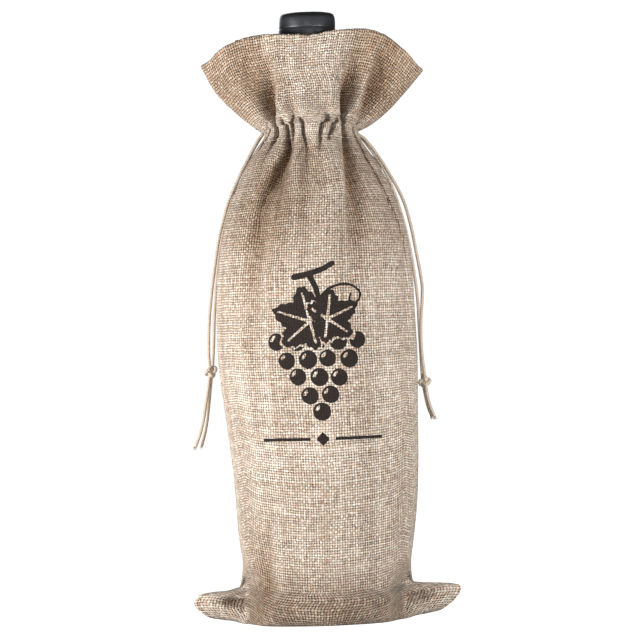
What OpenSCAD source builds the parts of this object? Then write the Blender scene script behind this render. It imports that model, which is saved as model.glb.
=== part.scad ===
// Drawstring wine bag of plain-weave cloth, cinched round the neck of a corked bottle.
// Millimetres. The origin is the middle of the base on the floor, +Z is up and -Y is the printed front.

/* [Bag] */
// Half of the bag's width where it is widest
bag_half_width = 53; // [52:0.5:54]
// Thickness of one layer of cloth
cloth = 1.0; // [0.8:0.1:1.1]
// Height of the lower stitch row of the drawstring casing
casing_low = 251.5; // [250:0.5:253]
// Height of the upper stitch row of the drawstring casing
casing_high = 266; // [265:0.5:267]
// Height of the header's top edge at the middle
header_top = 309; // [305:0.5:311]
// Height of the header's two side tips
header_tip_z = 291; // [288:0.5:293]
// Half of the header's width from tip to tip
header_half_width = 58.5; // [55:0.5:60]
// Reach of each loose bottom corner from the middle
corner_reach = 70; // [66:0.5:72]

/* [Drawcords] */
// Diameter of a drawcord
cord_d = 1.7; // [1.5:0.1:1.8]
// Width of a knot
knot_w = 7; // [6:0.5:8]

/* [Bottle] */
// Height of the bottle's top above the floor
bottle_top = 320; // [316:0.5:322]
// Radius of the bottle's body
bottle_r = 38; // [37:0.5:38]
// Radius of the bottle's neck
neck_r = 14.6; // [14:0.1:14.6]
// Thickness of the glass
glass = 3; // [2.5:0.1:3.5]

/* [Hidden] */

cloth_tone = "burlywood";
cord_tone = "wheat";
around = 30;              // segments from one side of the bag to the other
pleats = 5;               // gathered pleats in each half of the bag
side_gap = 1.4;           // from the middle plane to the edge of a body panel
casing_gap = 2.4;         // the same at the casing, where it is half of the cord's way out
layer_gap = 0.25;         // between the header and its facing
base_clear = 0.3;         // between the cloth base and the bottle
seam_depth = 4;           // how far the side seam's allowance reaches inward

// Half width and half depth of the body at each height, as shares of the widest half width
width_at = [[0, 0.79], [15, 0.81], [30, 0.85], [60, 0.915], [105, 0.962], [140, 1], [165, 0.99],
            [195, 0.945], [212, 0.862], [226, 0.775], [238, 0.66], [246, 0.565], [251, 0.50]];
depth_at = [[0, 0.765], [15, 0.77], [60, 0.80], [140, 0.80], [195, 0.78], [212, 0.745],
            [226, 0.67], [238, 0.58], [246, 0.49], [251, 0.44]];
body_levels = [0, 6, 15, 30, 60, 95, 140, 165, 195, 212, 226, 238, 246, 251];
// Size of the gathers at each height
gather_at = [[0, 0], [180, 0], [226, 0.9], [251, 1.3]];

casing_half = [24.5, 21.6];   // half width and half depth of the cinched casing
facing_r = 17.2;              // outer radius of the facing inside the casing
run_r = facing_r + 0.3 + cord_d / 2;
left_run_z = 257.6;
right_run_z = 255.2;
exit_x = 25;                  // where the outside strands begin
exit_y = 1.05;                // the strands leave side by side

function half_width(z) = bag_half_width * lookup(z, width_at);
function half_depth(z) = bag_half_width * lookup(z, depth_at);
function mix(a, b, t) = a + (b - a) * t;

// ---- Sheets: a grid of points, one row per level, made into a closed sheet of even thickness ----

function unit(v) = v / max(norm(v), 1e-9);
function pick(rows, i, j) =
    rows[max(0, min(len(rows) - 1, i))][max(0, min(len(rows[0]) - 1, j))];
function sheet_normal(rows, i, j) =
    unit(cross(pick(rows, i, j + 1) - pick(rows, i, j - 1), pick(rows, i + 1, j) - pick(rows, i - 1, j)));
// The grid moved along its own normals; a positive distance is outward
function shifted(rows, distance) = [
    for (i = [0 : len(rows) - 1]) [
        for (j = [0 : len(rows[0]) - 1]) rows[i][j] + distance * sheet_normal(rows, i, j)]];
function quad(a, b, c, d) = [[a, b, c], [a, c, d]];

module sheet(outer, thickness) {
    inner = shifted(outer, -thickness);
    n = len(outer);
    m = len(outer[0]);
    back = n * m;
    points = concat([for (row = outer) for (p = row) p], [for (row = inner) for (p = row) p]);
    faces = concat(
        [for (i = [0 : n - 2]) for (j = [0 : m - 2])
            for (f = quad(i * m + j, (i + 1) * m + j, (i + 1) * m + j + 1, i * m + j + 1)) f],
        [for (i = [0 : n - 2]) for (j = [0 : m - 2])
            for (f = quad(back + i * m + j, back + i * m + j + 1,
                          back + (i + 1) * m + j + 1, back + (i + 1) * m + j)) f],
        [for (j = [0 : m - 2]) for (f = quad(j, j + 1, back + j + 1, back + j)) f],
        [for (j = [0 : m - 2]) let (k = (n - 1) * m + j)
            for (f = quad(k, back + k, back + k + 1, k + 1)) f],
        [for (i = [0 : n - 2]) let (k = i * m) for (f = quad(k, back + k, back + k + m, k + m)) f],
        [for (i = [0 : n - 2]) let (k = i * m + m - 1)
            for (f = quad(k, k + m, back + k + m, back + k)) f]);
    polyhedron(points, faces, convexity = 8);
}

// One row of a front sheet, from the left side to the right: half width, half depth, pinch of the
// sides, distance of the edges from the middle plane, size of the gathers
function row_xy(a, b, pinch, gap, gather) = [
    for (j = [0 : around])
        let (t = 180 * j / around, ripple = gather * cos(360 * pleats * j / around) * sin(t))
        [-(a + ripple) * cos(t), -gap - (b + ripple) * pow(max(sin(t), 0), pinch)]];

function body_rows() = [
    for (z = body_levels)
        [for (p = row_xy(half_width(z), half_depth(z), 1, side_gap, lookup(z, gather_at)))
            [p[0], p[1], z]]];

// The casing swells between its two stitch rows
casing_steps = [0, 0.25, 0.5, 0.75, 1];
function casing_rows() = [
    for (s = casing_steps)
        [for (p = row_xy(casing_half[0] + sin(180 * s), casing_half[1] - 0.6 + 0.8 * sin(180 * s),
                         1, casing_gap, 0.8))
            [p[0], p[1], mix(casing_low + 0.3, casing_high - 0.3, s)]]];

// The header fans out from the casing, and pinches to a flat wing at each side
header_steps = [0, 0.16, 0.34, 0.56, 0.78, 1];
function header_row(s) =
    [for (j = [0 : around])
        let (p = row_xy(mix(casing_half[0] - 0.4, header_half_width, s),
                        mix(casing_half[1] - 0.8, 17, s), mix(1, 1.5, s), casing_gap,
                        mix(0.9, 1.6, s))[j],
             crown = pow(max(sin(180 * j / around), 0), 0.6),
             top = mix(header_tip_z, header_top, crown))
        [p[0], p[1], mix(casing_high + 0.2, top, s)]];
function header_rows() = [for (s = header_steps) header_row(s)];

// The facing lines the header, then closes in round the neck behind the cords
facing_low = [252.3, 258, 263.5];
function facing_rows() = concat(
    [for (z = facing_low) [
        for (j = [0 : around]) let (t = mix(8, 172, j / around))
            [-facing_r * cos(t), -facing_r * sin(t), z]]],
    shifted([for (s = [0.1, 0.34, 0.56, 0.78, 0.985]) header_row(s)], -cloth - layer_gap));

module to_back() { mirror([0, 1, 0]) children(); }
module to_right() { mirror([1, 0, 0]) children(); }

module front_panel() { color(cloth_tone) sheet(body_rows(), cloth); }
module back_panel() { color(cloth_tone) to_back() sheet(body_rows(), cloth); }
module front_casing() { color(cloth_tone) sheet(casing_rows(), cloth); }
module back_casing() { color(cloth_tone) to_back() sheet(casing_rows(), cloth); }
module front_header() { color(cloth_tone) sheet(header_rows(), cloth); }
module back_header() { color(cloth_tone) to_back() sheet(header_rows(), cloth); }
module front_facing() { color(cloth_tone) sheet(facing_rows(), cloth * 0.85); }
module back_facing() { color(cloth_tone) to_back() sheet(facing_rows(), cloth * 0.85); }

// The fold of cloth that the bottle stands on
module base_fold() {
    color(cloth_tone)
        linear_extrude(cloth + 0.2)
            polygon([for (t = [0 : 7.5 : 359])
                [(half_width(0) - cloth - 0.4) * cos(t), (half_depth(0) - cloth - 0.4) * sin(t)]]);
}

// ---- Bottom corners: flattened ears that fit against the panels at their root ----

// Each section is how far out it is, from root to tip, its underside, its top and its half thickness
corner_sections = [[0, 0, 20, 6], [0.3, 0, 18.6, 6.4], [0.6, 1, 17, 5.4], [0.85, 3.6, 15, 3.4],
                   [1, 6.4, 12.6, 1.6]];
corner_sides = 10;

function corner_ring(s) =
    [for (k = [0 : corner_sides - 1])
        let (t = 360 * k / corner_sides,
             y = s[3] * cos(t),
             z = mix(s[1], s[2], 0.5 + 0.5 * sin(t)),
             wall = half_width(z) * sqrt(1 - pow(max(abs(y) - side_gap, 0) / half_depth(z), 2)))
        [-mix(wall + 0.4, corner_reach, s[0]), y, z]];

module left_corner_solid() {
    rings = [for (s = corner_sections) corner_ring(s)];
    n = corner_sides;
    last = len(rings) - 1;
    polyhedron(
        [for (r = rings) for (p = r) p],
        concat([[for (k = [n - 1 : -1 : 0]) k], [for (k = [0 : n - 1]) last * n + k]],
               [for (i = [0 : last - 1]) for (k = [0 : n - 1]) let (l = (k + 1) % n)
                   for (f = quad(i * n + k, i * n + l, (i + 1) * n + l, (i + 1) * n + k)) f]));
}
module left_bottom_corner() { color(cloth_tone) left_corner_solid(); }
module right_bottom_corner() { color(cloth_tone) to_right() left_corner_solid(); }

// ---- Side seams: the sewn allowance that runs up inside each side ----

seam_levels = [20, 40, 60, 95, 140, 165, 195, 212, 226, 238, 246, 250];
seam_half = side_gap - 0.2;
function seam_ring(z) = let (x = half_width(z)) [
    [-x, -seam_half, z], [-x + seam_depth, -seam_half, z],
    [-x + seam_depth, seam_half, z], [-x, seam_half, z]];

module left_seam_solid() {
    rings = [for (z = seam_levels) seam_ring(z)];
    last = len(rings) - 1;
    polyhedron(
        [for (r = rings) for (p = r) p],
        concat([[0, 1, 2, 3], [for (k = [3 : -1 : 0]) last * 4 + k]],
               [for (i = [0 : last - 1]) for (k = [0 : 3]) let (l = (k + 1) % 4)
                   for (f = quad(i * 4 + k, i * 4 + 4 + k, i * 4 + 4 + l, i * 4 + l)) f]));
}
module left_side_seam() { color(cloth_tone) left_seam_solid(); }
module right_side_seam() { color(cloth_tone) to_right() left_seam_solid(); }

// ---- Stitch rows: short threads lying on the cloth below and above the casing ----

stitch_pitch = 3.6;
stitch_length = 2.2;
stitch_r = 0.3;

module stitch_row(a, b, z) {
    count = round(PI * (a + b) / stitch_pitch / 4) * 4;
    for (k = [0 : count - 1]) {
        t = 360 * (k + 0.5) / count;
        side = sin(t) > 0 ? 1 : -1;
        translate([a * cos(t), b * sin(t) + side * casing_gap, z])
            rotate([0, 90, atan2(b * cos(t), -a * sin(t))])
                cylinder(h = stitch_length, r = stitch_r, center = true, $fn = 16);
    }
}
module lower_stitch_row() {
    color(cord_tone) stitch_row(casing_half[0] + 1.4, casing_half[1] + 1, casing_low);
}
module upper_stitch_row() {
    color(cord_tone) stitch_row(casing_half[0] + 1.6, casing_half[1] + 1.2, casing_high);
}

// ---- Cords ----

// An eight-sided tube of the cord's diameter swept along a route
cord_sides = 8;
function route_way(route, i) =
    unit(route[min(i + 1, len(route) - 1)] - route[max(i - 1, 0)]);
function tube_ring(route, i) =
    let (way = route_way(route, i),
         side = unit(cross(way, abs(way[1]) > 0.9 ? [1, 0, 0] : [0, 1, 0])),
         lift = cross(side, way))
    [for (k = [0 : cord_sides - 1])
        route[i] + cord_d / 2 * (cos(360 * k / cord_sides) * side + sin(360 * k / cord_sides) * lift)];

module cord_tube(route) {
    last = len(route) - 1;
    n = cord_sides;
    polyhedron(
        [for (i = [0 : last]) for (p = tube_ring(route, i)) p],
        concat([[for (k = [n - 1 : -1 : 0]) k], [for (k = [0 : n - 1]) last * n + k]],
               [for (i = [0 : last - 1]) for (k = [0 : n - 1]) let (l = (k + 1) % n)
                   for (f = quad(i * n + k, i * n + l, (i + 1) * n + l, (i + 1) * n + k)) f]),
        convexity = 6);
}

// A cord's run round the inside of the casing, with both ends turned out through the left side
function run_route(z) = concat(
    [[-exit_x + 1.6, -exit_y, z], [-exit_x + 4.2, -exit_y - 0.5, z]],
    [for (t = [-166 : 12 : 166]) [run_r * cos(t), run_r * sin(t), z]],
    [[-exit_x + 4.2, exit_y + 0.5, z], [-exit_x + 1.6, exit_y, z]]);
module left_cord_run() { color(cord_tone) cord_tube(run_route(left_run_z)); }
module right_cord_run() { color(cord_tone) to_right() cord_tube(run_route(right_run_z)); }

// Routes of the outside strands, from the casing down through the knot to the frayed end
left_front_route = [
    [-25, -1.05, 257.6], [-27.2, -1.2, 255], [-29.6, -1.4, 250.6], [-33.2, -1.8, 243.7],
    [-36.9, -2.2, 236.8], [-40.1, -2.5, 230.7], [-44.8, -3, 221], [-47.4, -3.4, 212.6],
    [-49.9, -3.7, 203.6], [-51.8, -3.8, 194], [-53.8, -3.8, 182], [-55.4, -3.6, 171],
    [-56.6, -3.2, 161], [-57.4, -2.6, 149], [-57.6, -1.8, 140], [-57.4, -1, 133],
    [-58.2, -1.2, 126], [-59.8, -1.8, 117], [-61.6, -2.4, 108], [-63.8, -2.8, 99], [-67, -3, 91]];
left_back_route = [
    [-25, 1.05, 257.6], [-27.1, 1.3, 254.8], [-29.4, 1.8, 250.2], [-33.3, 3, 243],
    [-37.4, 4.4, 236], [-40.4, 5.6, 230], [-44.3, 7.2, 220.6], [-46.7, 8.2, 212],
    [-49, 8.6, 203], [-51.1, 8.6, 193], [-52.5, 8.2, 182], [-53.5, 7.4, 171],
    [-54.4, 6.4, 161], [-55, 4.8, 149], [-55.6, 2.8, 140], [-56.2, 1, 133], [-57.2, 0.7, 126],
    [-58.2, 0.6, 117], [-59.2, 0.6, 108], [-60.6, 0.6, 99], [-62.4, 0.4, 91]];
right_front_route = [
    [25, -1.05, 255.2], [27.6, -1.3, 253.6], [30.6, -1.5, 250.2], [34.6, -1.8, 244.6],
    [38.4, -2.2, 238.4], [42, -2.6, 231.8], [45.2, -3, 225.6], [47.9, -3.4, 219.2],
    [51.2, -3.7, 206.5], [53.4, -3.7, 193.6], [55.4, -3.6, 181], [56.2, -3.6, 174],
    [55.8, -4.4, 166], [54.8, -5.6, 155], [54.6, -5.4, 145], [55, -4, 136], [55.8, -2, 129],
    [56.2, -1, 124], [57, -1, 117], [58.6, -1.4, 110], [60.4, -2, 105]];
right_back_route = [
    [25, 1.05, 255.2], [26.9, 1.4, 252.8], [29, 2, 249.4], [32.7, 3.2, 244],
    [37.3, 4.6, 236.4], [40.4, 5.8, 230.6], [43.9, 7, 223], [46.7, 8, 213.6], [49.2, 8.5, 203],
    [51.2, 8.5, 192], [52.9, 8.1, 179], [54, 7.4, 166], [54.2, 6.6, 155],
    [54.4, 5.4, 145], [54.6, 4, 136], [54.8, 2.4, 129], [55, 1.2, 124], [55.4, 0.9, 117],
    [56.4, 0.8, 110], [57.4, 0.6, 106]];
left_knot_at = [-56.8, 0, 132.5];
right_knot_at = [56, 0.1, 124];

module left_front_strand() { color(cord_tone) cord_tube(left_front_route); }
module left_back_strand() { color(cord_tone) cord_tube(left_back_route); }
module right_front_strand() { color(cord_tone) cord_tube(right_front_route); }
module right_back_strand() { color(cord_tone) cord_tube(right_back_route); }

// A knot tied in both strands of a cord: three snug turns round a solid middle
module cord_knot() {
    turn_r = cord_d * 0.7;
    turn_at = knot_w / 2 - turn_r;
    rotate([12, 18, 0])
        rotate_extrude($fn = 40)
            intersection() {
                union() {
                    for (level = [-1, 0, 1])
                        translate([turn_at - 0.5 * abs(level), level * turn_r * 1.5])
                            circle(r = turn_r, $fn = 24);
                    translate([0, -turn_r * 2]) square([turn_at, turn_r * 4]);
                }
                translate([0, -knot_w]) square([knot_w, knot_w * 2]);
            }
}
module left_knot() { color(cord_tone) translate(left_knot_at) cord_knot(); }
module right_knot() { color(cord_tone) translate(right_knot_at) cord_knot(); }

// ---- Bottle ----

stand_z = cloth + 0.2 + base_clear;   // the bottle's foot is just above the base fold
disc_t = 0.4;                         // capsule disc
skirt_t = 0.35;                       // capsule skirt
skirt_low = 262.5;
lip_z = 302;                          // underside of the lip
lip_r = neck_r + 0.4;
cork_length = 45;
fill_z = 252;                         // top of the wine

module bottle_outline() {
    shoulder_z = 185;
    shoulder_r = 35;
    heel = 5;
    top = bottle_top - disc_t;
    neck = neck_r - skirt_t - 0.1;
    union() {
        translate([0, stand_z + heel]) square([bottle_r, shoulder_z - stand_z - heel]);
        translate([0, stand_z]) square([bottle_r - heel, heel + 1]);
        translate([bottle_r - heel, stand_z + heel]) circle(r = heel, $fn = 32);
        intersection() {
            translate([bottle_r - shoulder_r, shoulder_z]) circle(r = shoulder_r, $fn = 96);
            translate([0, shoulder_z]) square([bottle_r, shoulder_r]);
        }
        polygon([[0, 200], [22, 200], [22, 212], [19.6, 219], [17.4, 225], [15.8, 231], [14.9, 238],
                 [neck + 0.2, 248], [neck, 258], [neck, top - 1.4], [neck - 0.7, top - 0.2],
                 [0, top - 0.2]]);
        translate([0, lip_z]) square([lip_r - skirt_t - 0.1, 12]);
    }
}

module bottle_hollow(inset) {
    bore = 9.4 - inset;
    union() {
        translate([0, stand_z + 7 + inset]) square([bottle_r - glass - inset, 177 - inset]);
        intersection() {
            translate([bottle_r - 35, 185]) circle(r = 35 - glass - inset, $fn = 96);
            translate([0, 184]) square([bottle_r, 35]);
        }
        polygon([[0, 200], [18 - inset, 200], [18 - inset, 209], [14.4 - inset, 220],
                 [12 - inset, 231], [bore, 244], [bore, 330], [0, 330]]);
    }
}

module punt() {
    translate([0, 0, stand_z - 26]) sphere(r = 34, $fn = 96);
}

module bottle_glass() {
    color("darkolivegreen")
        difference() {
            rotate_extrude($fn = 96) bottle_outline();
            difference() {
                rotate_extrude($fn = 96) bottle_hollow(0);
                translate([0, 0, 4]) punt();
            }
            punt();
        }
}

module wine() {
    color("darkred")
        difference() {
            rotate_extrude($fn = 96)
                intersection() {
                    bottle_hollow(0.15);
                    square([bottle_r, fill_z]);
                }
            translate([0, 0, 4.2]) punt();
        }
}

module cork() {
    color("tan")
        translate([0, 0, bottle_top - disc_t - 0.2 - cork_length]) cylinder(h = cork_length, r = 9.35, $fn = 64);
}

// The sleeve over the neck and lip, with a turned-in top edge and a bead
module capsule_skirt() {
    top = bottle_top - disc_t;
    color("#1c1c1e")
        rotate_extrude($fn = 96)
            polygon([[neck_r, skirt_low], [neck_r, lip_z - 3], [lip_r, lip_z - 0.6], [lip_r + 0.3, lip_z + 1.5],
                     [lip_r + 0.3, lip_z + 9.6], [lip_r, lip_z + 10.2], [lip_r, top - 1.2],
                     [lip_r - 0.35, top - 0.35], [lip_r - 1.2, top],
                     [lip_r - 1.2, top - 0.05], [lip_r - skirt_t, top - 1.3],
                     [lip_r - skirt_t, lip_z - 0.4], [neck_r - skirt_t, lip_z - 2.8],
                     [neck_r - skirt_t, skirt_low]]);
}

module capsule_disc() {
    color("#1c1c1e")
        translate([0, 0, bottle_top - disc_t]) cylinder(h = disc_t, r = lip_r - 1.2, $fn = 96);
}

front_panel();
back_panel();
base_fold();
left_bottom_corner();
right_bottom_corner();
left_side_seam();
right_side_seam();
front_casing();
back_casing();
front_header();
back_header();
front_facing();
back_facing();
lower_stitch_row();
upper_stitch_row();
left_cord_run();
right_cord_run();
bottle_glass();
wine();
cork();
capsule_skirt();
capsule_disc();
left_front_strand();
left_back_strand();
left_knot();
right_front_strand();
right_back_strand();
right_knot();
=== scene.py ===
"""A filled drawstring wine bag: burlap-look cloth, drawcords, knots, print and the top of its bottle.

The cloth is a lofted shell: a base, a wall and a header, whose folds come from the tables below.
"""
import math

import bpy
import numpy as np
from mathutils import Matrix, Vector


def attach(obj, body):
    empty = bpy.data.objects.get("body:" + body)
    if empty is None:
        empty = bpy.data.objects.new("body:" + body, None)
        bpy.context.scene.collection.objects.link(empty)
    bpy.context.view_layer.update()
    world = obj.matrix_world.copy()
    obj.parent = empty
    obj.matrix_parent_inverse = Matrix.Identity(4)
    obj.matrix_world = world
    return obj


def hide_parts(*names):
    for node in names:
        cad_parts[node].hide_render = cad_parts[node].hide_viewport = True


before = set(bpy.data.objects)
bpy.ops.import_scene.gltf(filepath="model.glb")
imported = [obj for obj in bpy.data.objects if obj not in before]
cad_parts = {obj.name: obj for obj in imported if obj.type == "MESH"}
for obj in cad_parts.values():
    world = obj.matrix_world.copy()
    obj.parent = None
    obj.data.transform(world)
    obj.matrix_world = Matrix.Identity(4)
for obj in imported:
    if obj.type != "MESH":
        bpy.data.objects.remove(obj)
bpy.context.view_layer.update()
M = 0.001                      # one millimetre in metres

# ---------------------------------------------------------------- sizes

CLOTH_WIDTH = 150.0            # flat width of the bag
WARP_PITCH = 1.42              # from one upright yarn to the next
WEFT_PITCH = 1.36              # from one cross yarn to the next
CORD_D = 1.7
CORD_R = CORD_D / 2
CORD_RUN_Y = 16.6              # the cords inside the casing, in front of the neck
CINCH_Z = 257.0                # height of the tightest line, at the sides
CINCH_RISE = 4.0               # how much higher that line is at the middle
EAR_TOP_Z = 18.2               # top of the loose bottom corners
EAR_FADE = 15.0                # the height over which the wall above a corner loses its pull
CASING_LOW_Z = 250.8           # where the casing starts
CASING_TOP_T = 0.1             # where it ends, as a share of the header
LOWER_STITCH_Z = 253.5
UPPER_STITCH_Z = 266.0
COLUMNS = 290                  # across one half of the bag


def smooth(t):
    t = np.clip(t, 0.0, 1.0)
    return t * t * (3 - 2 * t)


def curve(table, x):
    """A smooth line through the rows of table, whose first column rises; any number of values."""
    table = np.array(table, float)
    xs, ys = table[:, 0], table[:, 1:]
    x = np.atleast_1d(np.asarray(x, float))
    slope = np.gradient(ys, xs, axis=0)
    i = np.clip(np.searchsorted(xs, x) - 1, 0, len(xs) - 2)
    h = xs[i + 1] - xs[i]
    t = np.clip((x - xs[i]) / h, 0, 1)[:, None]
    h = h[:, None]
    value = ((1 + 2 * t) * (1 - t) ** 2 * ys[i] + t * (1 - t) ** 2 * h * slope[i]
             + t * t * (3 - 2 * t) * ys[i + 1] - t * t * (1 - t) * h * slope[i + 1])
    return value[:, 0] if value.shape[1] == 1 else value


def run_along(points):
    """How far along its line each point is."""
    return np.concatenate([[0], np.cumsum(np.linalg.norm(np.diff(points, axis=0), axis=1))])


def side_fade(angle):
    """0 at the side seams and 1 away from them."""
    return np.clip(np.minimum(angle, 180 - angle) / 8, 0, 1)


# ---------------------------------------------------------------- scene: camera, light, floor

def node_material(name):
    mat = bpy.data.materials.new(name)
    mat.use_nodes = True
    mat.node_tree.nodes.clear()
    return mat


class Nodes:
    """Short calls for building a node tree."""

    def __init__(self, mat):
        self.tree = mat.node_tree

    def add(self, kind, **values):
        node = self.tree.nodes.new(kind)
        for key, value in values.items():
            setattr(node, key, value)
        return node

    def link(self, value, socket):
        if isinstance(value, bpy.types.NodeSocket):
            self.tree.links.new(value, socket)
        elif value is not None:
            socket.default_value = value

    def math(self, op, a, b=None, clamp=False):
        node = self.add("ShaderNodeMath", operation=op, use_clamp=clamp)
        for socket, value in zip(node.inputs, (a, b)):
            self.link(value, socket)
        return node.outputs[0]

    def plus(self, a, b):
        return self.math("ADD", a, b)

    def minus(self, a, b):
        return self.math("SUBTRACT", a, b)

    def times(self, a, b):
        return self.math("MULTIPLY", a, b)

    def spread(self, value, amount):
        """A value from 0 to 1 as one from -amount / 2 to amount / 2."""
        return self.times(self.minus(value, 0.5), amount)

    def place(self):
        return self.add("ShaderNodeTexCoord").outputs["Object"]

    def split(self, vector):
        node = self.add("ShaderNodeSeparateXYZ")
        self.link(vector, node.inputs[0])
        return node.outputs

    def value_of(self, attribute):
        return self.add("ShaderNodeAttribute", attribute_name=attribute).outputs["Fac"]

    def ramp(self, fac, stops):
        node = self.add("ShaderNodeValToRGB")
        while len(node.color_ramp.elements) < len(stops):
            node.color_ramp.elements.new(0.5)
        for element, (place, colour) in zip(node.color_ramp.elements, stops):
            element.position = place
            element.color = (*colour, 1)
        self.link(fac, node.inputs[0])
        return node.outputs[0]

    def mix(self, fac, a, b, blend="MIX"):
        node = self.add("ShaderNodeMix", data_type="RGBA", blend_type=blend)
        self.link(fac, node.inputs[0])
        self.link(a if isinstance(a, bpy.types.NodeSocket) else (*a, 1), node.inputs[6])
        self.link(b if isinstance(b, bpy.types.NodeSocket) else (*b, 1), node.inputs[7])
        return node.outputs[2]

    def tint(self, colour, fac, stops):
        """colour multiplied by a ramp's colour."""
        return self.mix(1.0, colour, self.ramp(fac, stops), "MULTIPLY")

    def noise(self, vector, scale, detail=2.0, rough=0.5):
        node = self.add("ShaderNodeTexNoise", noise_dimensions="3D")
        self.link(vector, node.inputs["Vector"])
        node.inputs["Scale"].default_value = scale
        node.inputs["Detail"].default_value = detail
        node.inputs["Roughness"].default_value = rough
        return node.outputs["Fac"]

    def combine(self, x, y, z=0.0):
        node = self.add("ShaderNodeCombineXYZ")
        for socket, value in zip(node.inputs, (x, y, z)):
            self.link(value, socket)
        return node.outputs[0]

    def random(self, *parts):
        vector = self.combine(*parts)
        node = self.add("ShaderNodeTexWhiteNoise", noise_dimensions="3D")
        self.link(vector, node.inputs["Vector"])
        return node.outputs["Value"]

    def bump(self, height, strength, distance):
        node = self.add("ShaderNodeBump")
        node.inputs["Strength"].default_value = strength
        node.inputs["Distance"].default_value = distance
        self.link(height, node.inputs["Height"])
        return node.outputs[0]

    def surface(self, **sockets):
        """A Principled shader, joined to the output; sockets are named with _ for a space."""
        shader = self.add("ShaderNodeBsdfPrincipled")
        for key, value in sockets.items():
            self.link(value, shader.inputs[key.replace("_", " ")])
        out = self.add("ShaderNodeOutputMaterial")
        self.tree.links.new(shader.outputs[0], out.inputs["Surface"])
        return shader


EYE = (1.7 * M, -1.4, 158 * M)
ROLL_DEG = 1.9                 # the bag leans a little to the left in its picture
SENSOR_MM = 36
LENS_MM = 148.9
FLOOR_REACH = 6.0              # metres from the middle of the floor to its edge


def make_camera():
    data = bpy.data.cameras.new("camera")
    data.sensor_width = SENSOR_MM
    data.lens = LENS_MM
    camera = bpy.data.objects.new("camera", data)
    camera.location = EYE
    camera.rotation_euler = (math.radians(90), math.radians(ROLL_DEG), 0)
    bpy.context.scene.collection.objects.link(camera)
    bpy.context.scene.camera = camera


def area_light(name, place, target, size, power):
    data = bpy.data.lights.new(name, "AREA")
    data.shape = "DISK"
    data.size = size
    data.energy = power
    lamp = bpy.data.objects.new(name, data)
    lamp.location = place
    away = np.array(place) - np.array(target)
    lamp.rotation_euler = Vector(away).to_track_quat("Z", "Y").to_euler()
    bpy.context.scene.collection.objects.link(lamp)


def plain_floor():
    """A pale floor that gives off white light which only the camera sees, so no shadow shows on it."""
    mesh = bpy.data.meshes.new("floor")
    corners = [(a * FLOOR_REACH, b * FLOOR_REACH, 0) for a, b in ((-1, -1), (1, -1), (1, 1), (-1, 1))]
    mesh.from_pydata(corners, [], [(0, 1, 2, 3)])
    floor = bpy.data.objects.new("floor", mesh)
    bpy.context.scene.collection.objects.link(floor)
    mat = node_material("floor_white")
    nodes = Nodes(mat)
    seen = nodes.add("ShaderNodeLightPath").outputs["Is Camera Ray"]
    nodes.surface(Base_Color=(0.25, 0.25, 0.25, 1), Roughness=0.9,
                  Emission_Color=(1, 1, 1, 1), Emission_Strength=seen)
    mesh.materials.append(mat)


def studio_world():
    """White where the camera looks past the floor, and dimmer as a light."""
    world = bpy.data.worlds.new("studio")
    world.use_nodes = True
    tree = world.node_tree
    seen = tree.nodes.new("ShaderNodeLightPath").outputs["Is Camera Ray"]
    level = tree.nodes.new("ShaderNodeMapRange")
    level.inputs["To Min"].default_value = 0.12
    level.inputs["To Max"].default_value = 1.05
    tree.links.new(seen, level.inputs["Value"])
    background = tree.nodes["Background"]
    background.inputs["Color"].default_value = (1, 1, 1, 1)
    tree.links.new(level.outputs[0], background.inputs["Strength"])
    bpy.context.scene.world = world


def make_stage():
    plain_floor()
    studio_world()
    bpy.context.scene.view_settings.view_transform = "Standard"
    area_light("left_box", (-0.52, -0.27, 0.14), (0, 0, 0.14), 0.22, 6.05)
    area_light("right_box", (0.54, -0.44, 0.15), (0, 0, 0.14), 0.34, 5.6)
    area_light("front_box", (0.05, -1.25, 0.25), (0, 0, 0.15), 0.4, 4.25)
    area_light("back_box", (-0.3, 1.3, 0.6), (0, 0, 0.15), 0.9, 7.0)


# ---------------------------------------------------------------- meshes

def make_object(name, points, faces, mat, uv=None, smooth_faces=True):
    """An object in the row frame from points in millimetres."""
    mesh = bpy.data.meshes.new(name)
    mesh.from_pydata((np.asarray(points) * M).tolist(), [], faces)
    mesh.update()
    if uv is not None:
        layer = mesh.uv_layers.new(name="cloth")
        loops = np.empty(len(mesh.loops), int)
        mesh.loops.foreach_get("vertex_index", loops)
        layer.data.foreach_set("uv", np.asarray(uv)[loops].ravel())
    if smooth_faces:
        mesh.polygons.foreach_set("use_smooth", [True] * len(mesh.polygons))
    obj = bpy.data.objects.new(name, mesh)
    bpy.context.scene.collection.objects.link(obj)
    mesh.materials.append(mat)
    return obj


def grid_faces(rows, columns, closed=False, flip=False):
    faces = []
    last = columns if closed else columns - 1
    for i in range(rows - 1):
        for j in range(last):
            k = (j + 1) % columns
            face = (i * columns + j, i * columns + k, (i + 1) * columns + k, (i + 1) * columns + j)
            faces.append(face[::-1] if flip else face)
    return faces


# ---------------------------------------------------------------- the cloth's shape

# Height, then how far the left side, the right side and the front stand from the middle
BODY = [
    (0, 43, 41.5, 38), (6, 43.2, 42, 39.8), (17, 42.6, 43, 41), (30, 43.2, 45.5, 41.6),
    (45, 45, 48, 42.2), (63, 46, 50.2, 42.8), (80, 47, 51.2, 43), (106, 49.7, 51.8, 43),
    (137, 52.8, 52.6, 42.8), (161, 53, 52, 43), (181, 52, 51.4, 43), (194, 50.3, 50.4, 42.6),
    (204, 48.4, 48.8, 42), (213, 46.2, 46.4, 40.8), (222, 43, 43.4, 38.6), (231, 39, 39.6, 35.4),
    (238, 35.6, 35.8, 32.4), (244, 32.3, 31.9, 29.6), (250, 28.2, 27.9, 26.8), (254, 25.2, 25.8, 25.2),
    (257, 24, 25, 24.2),
]
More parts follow.
